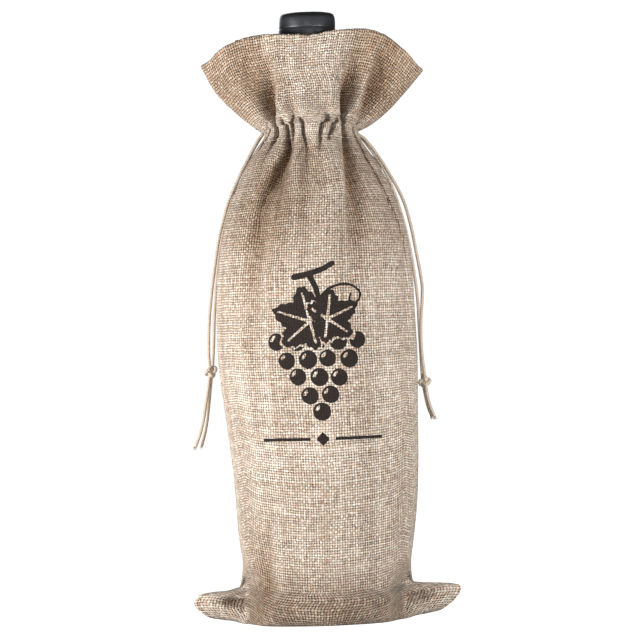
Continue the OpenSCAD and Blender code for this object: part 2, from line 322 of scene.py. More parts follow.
# Height, then the least radius of the cloth, which leaves the bottle room to be lifted
ROOM = [
    (0, 38.6), (190, 38.8), (205, 39.4), (212, 38.2), (220, 35.2), (226, 31.4), (230, 27.2), (234, 23.4),
    (238, 21), (244, 18.9), (250, 17.9), (262, 17.9),
]
SLIT = 2.4                     # half the width of the gap that the cords come out of
# How far up the header, then the left edge's x and z, and the right edge's x and z
HEADER_SIDES = [
    (0, -24.2, 257, 25.2, 257), (0.2, -31.4, 262, 32.6, 260.6), (0.43, -40.2, 269.8, 41.4, 267.4),
    (0.7, -49.3, 279.6, 51.2, 277.4), (1, -56.8, 293.6, 60.4, 287.8),
]
# The header's top edge: angle from the left side to the right, then z
TOP_EDGE = [
    (0, 293.6), (18, 297.5), (38, 303.5), (55, 306.6), (75, 306.7), (90, 306.5), (105, 308.3),
    (125, 308.6), (142, 304.5), (160, 297), (180, 287.8),
]
# Folds of the front below the cinch. Each has rows of height against the cinch, angle, depth,
# and width to the left and to the right; a ridge has a depth below zero
FRONT_FOLDS = [
    [(-259, 36, 1, 9, 6), (-252, 40, 4, 9, 6), (-243, 44, 6, 10, 6), (-230, 46, 5.6, 11, 5.4),
     (-215, 49, 3.2, 12, 7), (-195, 54, 1.2, 12, 9), (-175, 57, 0, 12, 12)],
    [(-40, 12, 0, 4, 4), (-20, 13, 0.9, 2.5, 2.5), (0, 15, 2.6, 1.1, 1.1), (12, 16, 0, 1.5, 1.5)],
    [(-44, 24, 0, 4, 4), (-22, 26, 1.1, 2.5, 2.5), (-8, 27, 2.8, 1.2, 1.2), (0, 27, 3.6, 1.1, 1.1),
     (9, 28, 0, 2, 2)],
    [(-36, 43, 0, 5, 5), (-20, 45, 1.8, 3, 3), (-13, 48, 3.8, 2, 1.8), (-10, 49, 5.2, 1.5, 1.2),
     (-4.5, 43, 5.6, 1.2, 1), (1, 40, 5.2, 1.3, 1)],
    [(-128, 48, 0, 12, 12), (-100, 49, 1.8, 13, 11), (-70, 52, 5, 12, 10), (-50, 57.5, 8.6, 11, 8),
     (-34.8, 62.5, 12, 10, 5), (-26, 66, 11.6, 7.5, 2.8), (-17.5, 69, 8.6, 3.6, 2), (-13, 66.5, 8, 2.1, 1.5),
     (-6.9, 61, 7.4, 1.3, 1.2), (0, 54, 6.6, 1.2, 1.1)],
    [(-20, 73, 0, 1.6, 1.6), (-14, 72, 3.2, 1.2, 1.2), (-9, 69.8, 5.4, 1.1, 1.1), (0, 65, 5.6, 1, 1)],
    [(-75, 86, 0, 8, 8), (-44, 85, 1.6, 6, 7), (-21, 84.4, 3, 2.5, 3.6), (-14, 83.6, 4, 1.5, 2),
     (-9, 81.4, 6.4, 1.1, 1.3), (0, 80, 6.8, 1.1, 1.1)],
    [(-46, 90, 0, 9, 9), (-26, 90, 1.6, 6, 6), (-15, 91, 2.4, 4, 4), (-8, 91, 0, 3, 3)],
    [(-60, 97, 0, 6, 6), (-30, 98, 2, 4, 4), (-15, 99, 3.4, 1.8, 2.4), (-11, 100, 5.4, 1.3, 1.6),
     (-5.5, 103.5, 6.8, 1.1, 1.2), (0, 108, 6.8, 1.1, 1.1)],
    [(-14.5, 108, 0, 2, 2), (-10.4, 111, 3.4, 1.3, 1.3), (-8, 115, 5.4, 1.2, 1.2),
     (-4, 119, 6, 1.1, 1.1), (0, 122.5, 5.4, 1.1, 1.1)],
    [(-96, 113, 0, 9, 12), (-66, 114, 2.8, 5, 11), (-45, 115, 6, 2.4, 10), (-32.6, 117.4, 8.4, 1.4, 9),
     (-23, 120.4, 9, 1.2, 7), (-13.7, 126, 7.6, 1.1, 4), (-7, 132.5, 6, 1.1, 1.6), (0, 135, 6.4, 1.2, 1.2)],
    [(-185, 150, 0, 3, 2), (-150, 152, 0.8, 3.6, 2), (-110, 155, 1.2, 4, 2), (-80, 158, 1.9, 4.4, 2),
     (-63.5, 160, 2.6, 4.6, 1.9), (-54, 158.5, 3, 4.2, 1.8), (-39, 152.5, 3, 3.6, 1.6),
     (-29, 150, 2.8, 2.6, 1.3), (-23, 147, 2.6, 2, 1.5), (-12, 151, 3.2, 1.4, 1.4), (0, 156, 4.2, 1.1, 1.2)],
    [(-30, 166, 0, 3, 3), (-12, 167, 1.4, 1.4, 1.4), (0, 168, 2.4, 1, 1)],
]
# The same above the cinch, with how far up the header in place of height
HEADER_FOLDS = [
    [(0, 40, 5.2, 1.4, 1), (0.05, 42.5, 8, 2.8, 1), (0.13, 48, 12, 6, 1), (0.26, 53.5, 14, 9, 1.3),
     (0.38, 58, 12.6, 11, 1.9), (0.52, 61, 9.4, 13, 3), (0.77, 64, 4.4, 13, 5), (1, 66, 1.4, 12, 8)],
    [(0.08, 20, 0, 4, 4), (0.25, 27, -5, 7, 6), (0.5, 33, -5, 9, 8), (0.8, 38, -3, 10, 10),
     (1, 40, -1.5, 10, 10)],
    [(0, 15, 2.6, 1.1, 1.1), (0.15, 18, 0, 2, 2)],
    [(0, 27, 3.6, 1.1, 1.1), (0.07, 31, 2, 1.4, 1.4), (0.16, 34, 0, 2, 2)],
    [(0, 54, 6.6, 1.2, 1.1), (0.05, 55, 4.4, 1.3, 1.3), (0.12, 57, 0, 2, 2)],
    [(0, 65, 5.6, 1, 1), (0.05, 69, 5.6, 1.4, 1.4), (0.1, 71, 4.2, 1.9, 1.9), (0.16, 72, 3.2, 2.5, 2.5),
     (0.26, 73, 2.2, 3.4, 3.4), (0.4, 74, 1.1, 4, 4), (0.62, 75, 0, 5, 5)],
    [(0, 80, 6.8, 1.1, 1.1), (0.04, 79, 5, 1.4, 1.4), (0.09, 78, 2, 2, 2), (0.16, 78, 0, 2.4, 2.4)],
    [(0, 108, 6.8, 1.1, 1.1), (0.04, 109, 5.8, 1.4, 1.8), (0.1, 106, 3.4, 2.2, 2.6),
     (0.24, 101, 1.4, 3.4, 3.4), (0.5, 98, 0, 5, 5)],
    [(0, 122.5, 5.4, 1.1, 1.1), (0.05, 121, 3, 1.3, 1.3), (0.11, 120, 0, 2, 2)],
    [(0, 135, 6.4, 1, 1.2), (0.06, 129, 8.4, 1, 1.8), (0.15, 125, 11, 1.1, 2.8), (0.25, 121, 12, 1.2, 4.2),
     (0.34, 118.5, 11.4, 1.5, 5.6), (0.47, 118, 9, 2, 7), (0.59, 118.5, 6.6, 3, 7.5), (0.75, 120, 4, 4, 8),
     (1, 121, 1.8, 6, 9)],
    [(0, 146, 0, 1, 1), (0.06, 144, -1.6, 1.1, 1.1), (0.26, 136, -4.6, 1.7, 1.6), (0.4, 133.5, -5, 2, 1.9),
     (0.51, 132, -4.2, 2.4, 2.2), (0.75, 130, -2.2, 3, 3), (1, 129, -0.8, 4, 4)],
    [(0, 156, 4.2, 1, 1.2), (0.1, 152.5, 7, 1, 2.6), (0.31, 143.5, 9, 1.3, 6), (0.43, 140, 8.4, 1.6, 8),
     (0.55, 138, 6.6, 2, 9), (0.8, 136, 3, 4, 10), (1, 135, 0.8, 6, 10)],
    [(0.1, 162, 0, 3, 3), (0.3, 156, -3, 5, 5), (0.6, 152, -3, 8, 8), (1, 148, -1, 10, 10)],
    [(0, 168, 2.4, 1, 1), (0.12, 166, 0, 2, 2)],
]
# The back, which is gathered in the same way but more evenly
BACK_ANGLES = [13, 26, 40, 54, 67, 80, 94, 108, 122, 134, 147, 160]
BACK_REACH = [26, 38, 60, 30, 84, 34, 48, 92, 40, 62, 88, 30]
BACK_LEAN = [-1, -4, -6, 2, -5, 3, 1, 5, -2, 4, 6, 1]


def back_folds():
    body, header = [], []
    for angle, reach, lean in zip(BACK_ANGLES, BACK_REACH, BACK_LEAN):
        lit, dark = (1.0, 0.6) if lean > 0 else (0.6, 1.0)
        body.append([(-reach, angle + lean, 0, 9, 9),
                     (-reach * 0.5, angle + lean * 0.8, 0.03 * reach, 7 * dark, 7 * lit),
                     (-14, angle + lean * 0.4, 4.4, 2.4, 2.4), (-8, angle, 5.6, 1.4, 1.4),
                     (0, angle, 5.8, 1.1, 1.1)])
        top = 90 + (angle - 90) * 0.8
        far = min(1.0, reach / 60)
        header.append([(0, angle, 5.8, 1.1, 1.1), (0.08, (angle + top) / 2, 4.6, 1.6, 1.6),
                       (0.4 * far, top, 0.03 * reach, 4 * dark, 4 * lit), (far, top, 0, 8, 8)])
    return body, header


def fold_relief(angle_deg, folds, level, radius):
    """How far the cloth is pushed in, for one row, by every fold that crosses it."""
    push = np.zeros_like(angle_deg)
    for fold in folds:
        if level < fold[0][0] or level > fold[-1][0]:
            continue
        centre, depth, left, right = curve(fold, [level])[0]
        across = np.radians(angle_deg - centre) * radius
        across = across / np.maximum(np.where(across < 0, left, right), 0.3)
        push += depth / (1 + across ** 2) ** 1.5
    return push


def ear_outline(side):
    """The rim of a loose bottom corner, from under its root round the tip to its top."""
    if side < 0:
        return [(0, -52, 0.5), (0.12, -60, 2), (0.3, -65, 4.6), (0.45, -68.8, 8), (0.6, -69.6, 11.2),
                (0.74, -66.6, 14.8), (0.86, -59, 16.2), (0.94, -52, 16.6), (1, -46, EAR_TOP_Z)]
    return [(0, 51, 0.5), (0.14, 59, 2.2), (0.3, 63.5, 4.4), (0.46, 68, 8), (0.62, 71.4, 12.8),
            (0.76, 69.6, 16.2), (0.87, 60, 17.2), (0.94, 52, 17.6), (1, 47, EAR_TOP_Z)]


EAR_ROOT_DEG = 20.0            # the columns nearer the side than this go out into the ear
SEAM_DEPTH = 0.8               # of the side seam's line
SIDE_PUSH = 0.3                # how far a fold moves the cloth sideways against inwards
HEM_T = 2.0                    # half the thickness of the header's side, two folded layers
EAR_BEND_DEG = 44.0            # where the wall starts to turn towards the ear
EAR_RIM_Y = 0.45               # each half stops this far from the seam's line, all round the ear
HEADER_LOW_DEPTH = 23.4        # of the header from its middle to the front, at the cinch
HEADER_TOP_DEPTH = 18.2
HEADER_ROOM = 17.6             # the least radius of the header, which the capsule passes through
UNFACED_ROWS = 12              # rows at the foot of the header that have no cloth folded down inside
WAVES = 14                     # that are summed for slow unevenness


def body_row(z, angle, folds, facing):
    """One row of the wall at height z, as x, y, z for each angle; facing is -1 in front, 1 behind."""
    left, right, depth = curve(BODY, [z])[0]
    t = np.radians(angle)
    reach = np.where(angle < 90, left, right)
    push = fold_relief(angle, folds, z - CINCH_Z - CINCH_RISE, (left + right + 2 * depth) / 4)
    push = push * smooth(side_fade(angle))
    rise = CINCH_RISE * np.sin(t) * smooth((z - 205) / 52)
    room = curve(ROOM, z + rise)
    square = 1 - 0.4 * smooth((70 - z) / 70)
    across = (reach - push * SIDE_PUSH * smooth((120 - z) / 30)) * np.cos(t)
    y = np.maximum(depth * np.sin(t) ** square - push, np.sqrt(np.maximum(room ** 2 - across ** 2, 0)))
    y = np.maximum(y, SLIT * smooth((z - 248.5) / 3))
    groove = SEAM_DEPTH * np.exp(-(y / SEAM_DEPTH) ** 2)
    x = -(reach - push * SIDE_PUSH - groove) * np.cos(t)
    y = facing * y
    return np.stack([x, y, z + rise], 1)


def ear_row(row, angle, q, facing):
    """row with its two ends drawn out into the loose corners; q is 0 under them and 1 at their top."""
    out = row.copy()
    for side in (-1, 1):
        near = angle if side < 0 else 180 - angle
        bend = smooth((EAR_BEND_DEG - near) / (EAR_BEND_DEG - EAR_ROOT_DEG))
        root_y = 3.0 + 2.0 * math.sin(math.pi * q) + 12.5 * (1 - q) ** 3.5
        wall_y = np.abs(row[:, 1])
        y = wall_y + (root_y - wall_y) * bend ** 1.5
        x = np.abs(row[:, 0]) + 2.6 * bend ** 2
        at_root = near <= EAR_ROOT_DEG
        tip_x, tip_z = curve(ear_outline(side), [q])[0]
        along = np.clip(1 - near / EAR_ROOT_DEG, 0, 1)
        root_x = np.interp(EAR_ROOT_DEG, near if side < 0 else near[::-1], x if side < 0 else x[::-1])
        plump = 3.0 * np.sin(math.pi * along ** 0.8) * math.sin(math.pi * min(q * 1.05, 1)) ** 0.7
        crease = 6.0 * np.exp(-((q - 0.56 - 0.12 * along) / 0.1) ** 2) * np.exp(-((along - 0.16) / 0.3) ** 2)
        ear_y = EAR_RIM_Y + (root_y - EAR_RIM_Y) * (1 - along) ** 1.3 + plump - crease
        ear_x = root_x + (abs(tip_x) - root_x) * along
        ear_z = row[:, 2] + (tip_z - row[:, 2]) * smooth(along * 1.2)
        x = np.where(at_root, ear_x, x)
        y = np.where(at_root, ear_y, y)
        half = angle < 90 if side < 0 else angle >= 90
        out[half, 0] = side * x[half]
        out[half, 1] = facing * y[half]
        out[half, 2] = np.where(at_root, ear_z, row[:, 2])[half]
    return out


def header_row(t, angle, folds, facing):
    lx, lz, rx, rz = curve(HEADER_SIDES, [t])[0]
    a = np.radians(angle)
    reach = np.where(angle < 90, -lx, rx)
    top = curve(TOP_EDGE, angle)
    low = CINCH_Z + CINCH_RISE * np.sin(a)
    side_z = np.where(angle < 90, lz, rz)
    side_share = np.clip((side_z - low) / np.maximum(top - low, 1), 0, 1)
    share = t + (side_share - t) * np.abs(np.cos(a)) ** 6
    z = low + (top - low) * share
    depth = HEADER_LOW_DEPTH + (HEADER_TOP_DEPTH - HEADER_LOW_DEPTH) * smooth(t * 2.2)
    pinch = 1 + 0.3 * smooth(t * 1.6)
    push = fold_relief(angle, folds, t, reach.mean() * 0.5 + depth * 0.5)
    edge = side_fade(angle)
    push = push * smooth(edge)
    gap = HEM_T * smooth(t * 5) * np.sqrt(1 - (1 - np.clip(edge * 2.5, 0, 1)) ** 2)
    y = gap + (depth - push) * np.sin(a) ** pinch
    slit = SLIT * (1 - smooth((t - 0.06) / 0.16))
    room = np.sqrt(np.maximum(HEADER_ROOM ** 2 - (reach * np.cos(a)) ** 2, 0))
    y = np.maximum(y, np.maximum(slit, room))
    groove = SEAM_DEPTH * np.exp(-(y / 0.6) ** 2)
    x = -(reach - push * SIDE_PUSH - groove) * np.cos(a)
    return np.stack([x, facing * y, z], 1)


def wobble(points, size, amount, seed):
    """Slow random unevenness, the same for points that are close together."""
    rng = np.random.default_rng(seed)
    move = np.zeros(len(points))
    for _ in range(WAVES):
        way = rng.normal(size=3)
        way /= np.linalg.norm(way)
        move += np.sin(points @ way * 2 * math.pi / (size * rng.uniform(0.7, 1.8)) + rng.uniform(0, 6.3))
    return move / WAVES ** 0.5 * amount


def unevenness(rows):
    """Soft dents, fading towards the side seams and the floor."""
    flat = rows.reshape(-1, 3)
    move = wobble(flat, 46.0, 0.42, 3) + wobble(flat, 17.0, 0.12, 4)
    fade = smooth(np.abs(flat[:, 1]) / 9) * smooth(flat[:, 2] / 10)
    return (move * fade).reshape(rows.shape[:2])


def turned_in(rows, facing):
    """The header's cloth folded over at the top edge, and down inside as far as the casing."""
    normal = cloth_normals(rows) * -facing
    count = len(HEADER_STEPS)
    outer = rows[-count:]
    n = normal[-count:] * smooth(np.abs(outer[:, :, 1:2]) / 5)
    turn = []
    for k in (0.25, 0.6, 0.9):
        lift = HEM_T / 2 * math.sin(math.pi * k) * 0.9
        turn.append(outer[-1] - n[-1] * HEM_T * (1 - math.cos(math.pi * k)) / 2 + np.array([0, 0, lift]))
    inner = (outer - n * HEM_T)[::-1][:count - UNFACED_ROWS]
    return np.concatenate([np.array(turn), inner])


BODY_STEPS = np.concatenate([np.linspace(0, 13, 14), np.linspace(13.6, 20, 12), np.linspace(21, 92, 52),
                             np.arange(93, 189, 0.72), np.linspace(190, 212, 22), np.linspace(213, 257, 64)])
HEADER_STEPS = np.concatenate([np.linspace(0.012, 0.2, 22), np.linspace(0.22, 1, 50)])
BASE_STEPS = np.linspace(0.0, 0.96, 22)


def cloth_half(facing, body_folds, header_folds):
    """Rows of points for one half of the bag from the fold underneath to the top edge, and their parts."""
    angle = np.linspace(0, 180, COLUMNS + 1)
    rows, parts = [], []

    def wall(z):
        row = body_row(z, angle, body_folds, facing)
        if z < EAR_TOP_Z + EAR_FADE:
            eared = ear_row(row, angle, min(z / EAR_TOP_Z, 1), facing)
            row = row + (eared - row) * (1 - smooth((z - EAR_TOP_Z) / EAR_FADE))
        round_edge = max(0.0, 1 - z / 5) ** 2
        row[:, 1] *= 1 - 0.05 * round_edge
        return row

    first = wall(0.0)
    for k in BASE_STEPS:
        row = first.copy()
        row[:, 1] = first[:, 1] * k
        row[:, 2] = first[:, 2] + 0.3
        rows.append(row)
        parts.append("base")
    for z in BODY_STEPS:
        row = wall(z)
        row[:, 2] += 0.3 * max(0, 1 - z / 3)
        rows.append(row)
        parts.append("body" if z < CASING_LOW_Z else "casing")
    for t in HEADER_STEPS:
        rows.append(header_row(t, angle, header_folds, facing))
        parts.append("casing" if t < CASING_TOP_T else "header")
    rows = np.array(rows)
    rows[:, :, 1] += facing * unevenness(rows)
    rows[-1, :, 2] += wobble(rows[-1], 3.0, 0.16, 8) + wobble(rows[-1], 12.0, 0.3, 9)
    inside = turned_in(rows, facing)
    parts += ["facing"] * len(inside)
    return np.concatenate([rows, inside]), parts


def painted_shade_of(rows, plain):
    """Painted shade for each point of the cloth, as two values: how much darker it is drawn there, and how
    much warmer, as painted warm shade.

    They are set for the folds, the shoulders, the inside and the cloth near the floor; plain is
    the same cloth without its folds.
    """
    x, y, z = np.abs(rows[:, :, 0]), np.abs(rows[:, :, 1]), rows[:, :, 2]
    sunk = (np.abs(plain[:, :, 1]) - y) / 9
    at_cinch = smooth(1 - np.abs(z - 258) / 12)
    on_right = smooth(rows[:, :, 0] / 10 + 0.5)
    # painted warm shade in the fold valleys and on the header's wings, less at the cinch; a ridge, below
    # zero, is drawn a little lighter
    painted_warm_shade = 0.8 * np.clip(sunk, -0.3, 1) * (1 - 0.8 * at_cinch)
    painted_warm_shade += 0.55 * smooth((x - 18) / 18) * smooth((z - 258) / 8)
    # painted light: the cinch is drawn lighter
    painted_shade = painted_warm_shade - 0.25 * at_cinch
    # painted shade on the shoulders, weaker on the right side
    painted_shade += (0.4 - 0.2 * on_right) * smooth((z - 176) / 40) * (1 - smooth((z - 250) / 10))
    # painted shade near the floor
    painted_shade += 0.9 * smooth((38 - z) / 30)
    # painted shade in the crease of each bottom corner, weaker on the right; the corners get less of the
    # painted shade near the floor
    ear = smooth((x - 39) / 4) * smooth((20 - z) / 2)
    painted_crease_shade = np.exp(-((z - 10.5 - (x - 45) * 0.06) / 2.2) ** 2) * (1 - smooth((x - 50) / 12))
    painted_shade += ear * (1.0 - 0.5 * on_right) * painted_crease_shade - ear * 0.72
    # painted shade on the whole inside of the bag
    inside = np.arange(len(rows))[:, None] > len(BASE_STEPS) + len(BODY_STEPS) + len(HEADER_STEPS) + 2
    return np.where(inside, 0.9, painted_shade), painted_warm_shade


def pulled_share(height):
    """How much the cross yarns bend along with the folds, by height."""
    return 0.8 * smooth((height - 150) / 50) * (1 - 0.93 * smooth((height - 238) / 18))


def cloth_uv(rows):
    """Where each point lies on the flat cloth, in yarns across and along."""
    step = np.linalg.norm(np.diff(rows, axis=1), axis=2)
    across = np.concatenate([np.zeros((len(rows), 1)), np.cumsum(step, axis=1)], axis=1)
    across = across / across[:, -1:] * CLOTH_WIDTH
    rise = np.linalg.norm(np.diff(rows, axis=0), axis=2)
    along = np.concatenate([np.zeros((1, rows.shape[1])), np.cumsum(rise, axis=0)], axis=0)
    even = np.median(along, axis=1, keepdims=True)
    middle = rows[:, rows.shape[1] // 2, 2]
    level = int(np.argmax(middle > 150))
    below = along / along[level] * even[level]
    below += 0.45 * (even - below) * smooth((60 - middle[:, None]) / 20)
    above = even + (along - along[level] + even[level] - even) * pulled_share(middle)[:, None]
    along = np.where(np.arange(len(rows))[:, None] < level, below, above)
    return np.stack([across / WARP_PITCH, along / WEFT_PITCH], 2)


def cloth_normals(rows):
    du = np.gradient(rows, axis=1)
    dv = np.gradient(rows, axis=0)
    n = np.cross(du, dv)
    return n / np.maximum(np.linalg.norm(n, axis=2, keepdims=True), 1e-9)


# ---------------------------------------------------------------- materials

LIGHT = (0.84, 0.785, 0.71)
CREAM = (0.67, 0.60, 0.52)
BEIGE = (0.50, 0.42, 0.34)
TAN = (0.34, 0.245, 0.178)
BROWN = (0.20, 0.122, 0.078)
INK = (0.011, 0.007, 0.006)
GAP_EDGE = 0.02                # a yarn's profile below this is a gap
GAP_DEPTH = -0.4
RIM_Z = 316.6                  # the capsule is darker above this


def yarn_colour(n, along, yarn, seed, tone):
    """Cream, beige and tan by turns along each yarn, as in a melange thread."""
    own = n.random(yarn, seed)
    blend = n.noise(n.combine(n.times(along, 0.34), n.times(yarn, 7.31), seed), 1.0, 3.0, 0.62)
    level = n.plus(n.plus(n.spread(blend, 0.56), 0.515), n.spread(own, 0.10))
    return n.ramp(n.plus(level, tone),
                  [(0.26, BROWN), (0.39, TAN), (0.50, BEIGE), (0.60, CREAM), (0.74, LIGHT)])


def yarn_profile(n, across, along, yarn, seed, width):
    """The round top of a yarn, 1 along its middle and 0 beside it; the width is uneven."""
    slub = n.noise(n.combine(n.times(along, 0.35), n.times(yarn, 5.17), seed), 1.0, 1.0)
    own = n.random(yarn, seed + 3)
    wide = n.plus(n.plus(width, n.spread(slub, 0.85)), n.spread(own, 0.26))
    part = n.math("DIVIDE", n.times(across, 2.0), wide)
    return n.math("SQRT", n.math("SUBTRACT", 1.0, n.times(part, part), clamp=True))


def wandering(n, uv, u, v):
    """The cloth's map with yarns that wander a little, as yarns across and yarns along."""
    u2 = n.plus(u, n.spread(n.noise(uv, 0.13, 2.0), 1.0))
    v2 = n.plus(v, n.spread(n.noise(n.combine(u, v, 40.0), 0.11, 2.0), 1.0))
    jitter = n.noise(n.combine(u, v, 70.0), 0.8, 1.0)
    return n.plus(u2, n.spread(jitter, 0.42)), n.minus(v2, n.spread(jitter, 0.36))


def weave(n, u, v):
    """Plain weave: its height, whether the cross yarn is on top, and the number of each yarn."""
    i, j = n.math("FLOOR", u), n.math("FLOOR", v)
    fu, fv = n.minus(n.math("FRACT", u), 0.5), n.minus(n.math("FRACT", v), 0.5)
    warp = yarn_profile(n, fu, v, i, 1.0, 0.81)
    weft = yarn_profile(n, fv, u, j, 2.0, 0.72)
    even = n.math("MODULO", n.plus(i, n.plus(j, 4000.0)), 2.0)
    over = n.minus(1.0, n.times(even, 2.0))
    wave_u = n.times(over, n.math("COSINE", n.times(fv, math.pi)))
    wave_v = n.times(over, n.math("COSINE", n.times(fu, math.pi)))
    warp_z = n.plus(n.times(warp, 0.64), n.times(wave_u, 0.4))
    weft_z = n.minus(n.times(weft, 0.6), n.times(wave_v, 0.4))
    warp_z = n.minus(warp_z, n.math("LESS_THAN", warp, GAP_EDGE))
    weft_z = n.minus(weft_z, n.math("LESS_THAN", weft, GAP_EDGE))
    height = n.math("MAXIMUM", n.math("MAXIMUM", warp_z, weft_z), GAP_DEPTH)
    return height, n.math("GREATER_THAN", weft_z, warp_z), i, j


def fibres(n, u, v, weft_on_top):
    """Fine fibres that run along whichever yarn is on top."""
    pick = n.add("ShaderNodeMix", data_type="FLOAT")
    n.link(weft_on_top, pick.inputs[0])
    n.link(n.noise(n.combine(n.times(u, 9.0), n.times(v, 1.3)), 1.0, 2.0), pick.inputs[2])
    n.link(n.noise(n.combine(n.times(u, 1.3), n.times(v, 9.0), 5.0), 1.0, 2.0), pick.inputs[3])
    return pick.outputs[0]


def burlap(name, printed=False):
    mat = node_material(name)
    n = Nodes(mat)
    uv = n.add("ShaderNodeUVMap", uv_map="cloth").outputs[0]
    u, v = n.split(uv)[:2]
    u2, v2 = wandering(n, uv, u, v)
    height, weft_on_top, i, j = weave(n, u2, v2)
    fibre = fibres(n, u, v, weft_on_top)
    streak = n.noise(n.combine(n.times(u, 0.11), n.times(v, 0.012)), 1.0, 2.0)
    big = n.plus(n.spread(n.noise(uv, 0.05, 3.0), 0.10), n.spread(streak, 0.16))
    colour = n.mix(weft_on_top, yarn_colour(n, v2, i, 11.0, big), yarn_colour(n, u2, j, 23.0, big))
    colour = n.tint(colour, fibre, [(0.3, (0.72, 0.70, 0.68)), (0.55, (1, 1, 1)), (0.75, (1.12, 1.1, 1.08))])
    # some yarns are a little pinker, and some greyer
    hue = n.noise(n.combine(n.times(u, 0.5), n.times(v, 0.5), 90.0), 1.0, 2.0, 0.7)
    colour = n.tint(colour, hue, [(0.3, (1.07, 0.97, 0.90)), (0.5, (1, 1, 1)), (0.7, (0.95, 1.0, 1.06))])
    # Painted shade from the cloth's values: drawn darker, and warmer, in the folds, on the shoulders, near
    # the floor and inside; where the value is below zero the cloth is drawn lighter, which is painted light.
    dark = n.value_of("painted_shade")
    colour = n.tint(colour, n.plus(n.times(dark, 0.5), 0.2),
                    [(0.0, (1.16, 1.16, 1.16)), (0.2, (1, 1, 1)), (0.7, (0.56, 0.505, 0.45))])
    colour = n.tint(colour, n.value_of("painted_warm_shade"), [(0.0, (1, 1, 1)), (0.8, (1.0, 0.87, 0.75))])
    # Painted shade at the scale of the yarns: their sides are drawn darker, more so where the cloth is
    # painted in shade, and their tops lighter, a painted highlight; the dark gaps are partly real, where the
    # bag's dark inside shows through.
    painted_shade_height = n.minus(height, n.times(n.minus(dark, 0.1), 0.14))
    colour = n.tint(colour, painted_shade_height, [(0.0, (0.06, 0.035, 0.025)), (0.2, (0.25, 0.19, 0.155)),
                                   (0.5, (0.71, 0.67, 0.635)), (0.92, (1.15, 1.15, 1.15))])
    if printed:
        rough_edge = n.spread(n.noise(uv, 1.2, 2.0), 0.5)
        inked = n.math("GREATER_THAN", n.plus(n.value_of("ink"), rough_edge), 0.0)
        reached = n.math("GREATER_THAN", n.plus(height, n.times(fibre, 0.4)), 0.12)
        colour = n.mix(n.times(n.times(inked, reached), 0.985), colour, INK)
    normal = n.bump(n.plus(height, n.times(fibre, 0.25)), 1.0, 0.6 * M)
    n.surface(Base_Color=colour, Roughness=0.88, Normal=normal, Sheen_Weight=0.08, Sheen_Roughness=0.5,
              Specular_IOR_Level=0.15)
    return mat


def cord_material():
    mat = node_material("cotton_cord")
    n = Nodes(mat)
    around, along = n.split(n.add("ShaderNodeUVMap", uv_map="cloth").outputs[0])[:2]
    # the braid: two sets of fine ridges that wind opposite ways
    six = n.times(around, 6.0)
    one = n.math("SINE", n.times(n.plus(six, along), 2 * math.pi))
    two = n.math("SINE", n.times(n.minus(six, along), 2 * math.pi))
    braid = n.times(one, two)
    fine = n.noise(n.combine(n.times(around, 20.0), n.times(along, 2.5)), 1.0, 3.0)
    colour = n.ramp(n.plus(n.times(braid, 0.16), n.times(fine, 0.8)),
                    [(0.15, (0.28, 0.215, 0.16)), (0.38, (0.44, 0.36, 0.285)), (0.62, (0.57, 0.49, 0.405))])
    n.surface(Base_Color=colour, Roughness=0.72, Normal=n.bump(braid, 0.5, 0.12 * M), Sheen_Weight=0.15,
              Sheen_Roughness=0.5, Specular_IOR_Level=0.35)
    return mat


def capsule_material():
    mat = node_material("capsule_black")
    n = Nodes(mat)
    place = n.place()
    crinkle = n.noise(place, 130.0, 3.0, 0.6)
    grain = n.noise(place, 2600.0, 2.0, 0.5)
    colour = n.ramp(crinkle, [(0.3, (0.010, 0.011, 0.014)), (0.7, (0.020, 0.021, 0.026))])
    rim = n.times(n.minus(n.split(place)["Z"], RIM_Z * M), 800.0)
    colour = n.tint(colour, rim, [(0.0, (1, 1, 1)), (1.0, (0.35, 0.35, 0.35))])
    rough = n.plus(0.36, n.times(grain, 0.16))
    normal = n.bump(n.plus(crinkle, n.times(grain, 0.05)), 0.35, 0.5 * M)
    n.surface(Base_Color=colour, Roughness=rough, Normal=normal, Specular_IOR_Level=0.5, Coat_Weight=0.06,
              Coat_Roughness=0.4)
    return mat


def noise_material(name, grain, stops, relief=None, **sockets):
    """Colour, and relief if any, from one noise: grain is its scale, detail and roughness."""
    mat = node_material(name)
    n = Nodes(mat)
    noise = n.noise(n.place(), *grain)
    if relief:
        sockets["Normal"] = n.bump(noise, relief[0], relief[1] * M)
    n.surface(Base_Color=n.ramp(noise, stops), **sockets)
    return mat


def thread_material():
    stops = [(0.35, (0.40, 0.31, 0.23)), (0.6, (0.62, 0.53, 0.42))]
    return noise_material("sewing_thread", (3200.0, 2.0), stops, (0.4, 0.05), Roughness=0.6)


def glass_material():
    return noise_material("green_glass", (40.0, 2.0), [(0.3, (0.10, 0.17, 0.08)), (0.7, (0.14, 0.22, 0.10))],
                          (0.12, 0.4), Roughness=0.06, Transmission_Weight=0.9, IOR=1.52)


def wine_material():
    return noise_material("red_wine", (25.0, 2.0), [(0.3, (0.16, 0.006, 0.012)), (0.7, (0.24, 0.012, 0.02))],
                          Roughness=0.03, Transmission_Weight=0.7, IOR=1.34)


def cork_material():
    stops = [(0.32, (0.16, 0.075, 0.03)), (0.45, (0.46, 0.29, 0.15)), (0.7, (0.62, 0.42, 0.24))]
    return noise_material("cork", (900.0, 4.0, 0.65), stops, (0.6, 0.3), Roughness=0.85)


# ---------------------------------------------------------------- print
# A bunch of grapes with two vine leaves, over a rule with a diamond in it. Places are across and up
# the front of the bag from its middle line and the floor; ink is above zero inside a shape.

